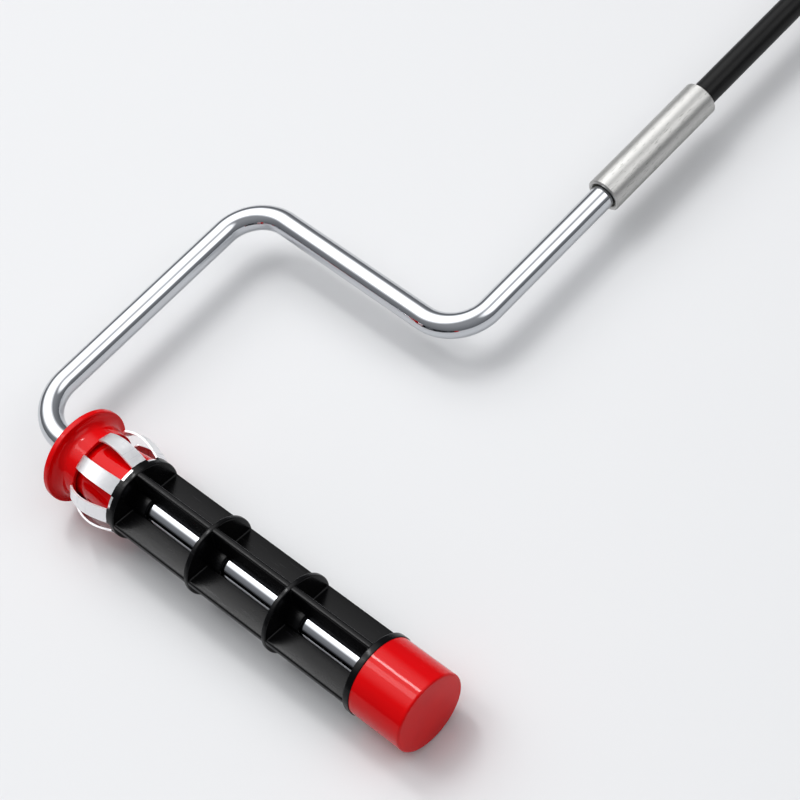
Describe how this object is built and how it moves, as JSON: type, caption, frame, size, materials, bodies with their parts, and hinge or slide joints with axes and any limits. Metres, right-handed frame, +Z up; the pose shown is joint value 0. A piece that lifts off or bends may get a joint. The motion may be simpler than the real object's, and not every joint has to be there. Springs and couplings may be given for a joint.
{
  "type": "paint roller frame",
  "caption": "Paint roller frame: bent chromed wire with a free-running ribbed cage, spring fingers, stop flange and end cap, on a long stiff rod with a grip.",
  "frame": {"origin": "on the roller axis, at the inboard edge of the cage's first full ring, where the sleeve seat begins", "axes": "X along the roller axis towards its free end, Y from the roller along the handle, Z up out of the plane of the wire"},
  "size_m": [0.1701, 0.4449, 0.031],
  "materials": {
    "chromed_wire": "bright chrome plate on drawn steel wire",
    "axle_steel": "zinc-plated steel",
    "red_moulding": "glossy moulded plastic",
    "bush_plastic": "natural self-lubricating plastic",
    "spring_steel": "bright stamped spring steel",
    "black_nylon": "semi-gloss moulded nylon",
    "ferrule_aluminium": "drawn tube, finely scratched along its length",
    "bond_resin": "set adhesive",
    "black_rod": "semi-gloss pultruded rod",
    "grip_rubber": "soft ribbed rubber"
  },
  "bodies": {
    "frame": {"wire_frame": "chromed_wire", "stop_collar": "axle_steel", "inboard_washer": "axle_steel", "outboard_washer": "axle_steel", "push_nut": "axle_steel", "ferrule": "ferrule_aluminium", "wire_bond": "bond_resin", "rod_bond": "bond_resin", "rod": "black_rod", "rod_pin": "axle_steel", "grip_nose": "red_moulding", "grip_core": "black_nylon", "grip_sleeve": "grip_rubber", "thread_insert": "red_moulding"},
    "roller": {"stop_flange": "red_moulding", "inboard_bush": "bush_plastic", "spring_retainer": "spring_steel", "cage": "black_nylon", "outboard_bush": "bush_plastic", "end_cap": "red_moulding"}
  },
  "joints": [
    {"name": "cage_spin", "type": "hinge", "parent": "frame", "child": "roller", "pos_m": [0, 0, 0], "axis": [1, 0, 0], "continuous": true}
  ]
}
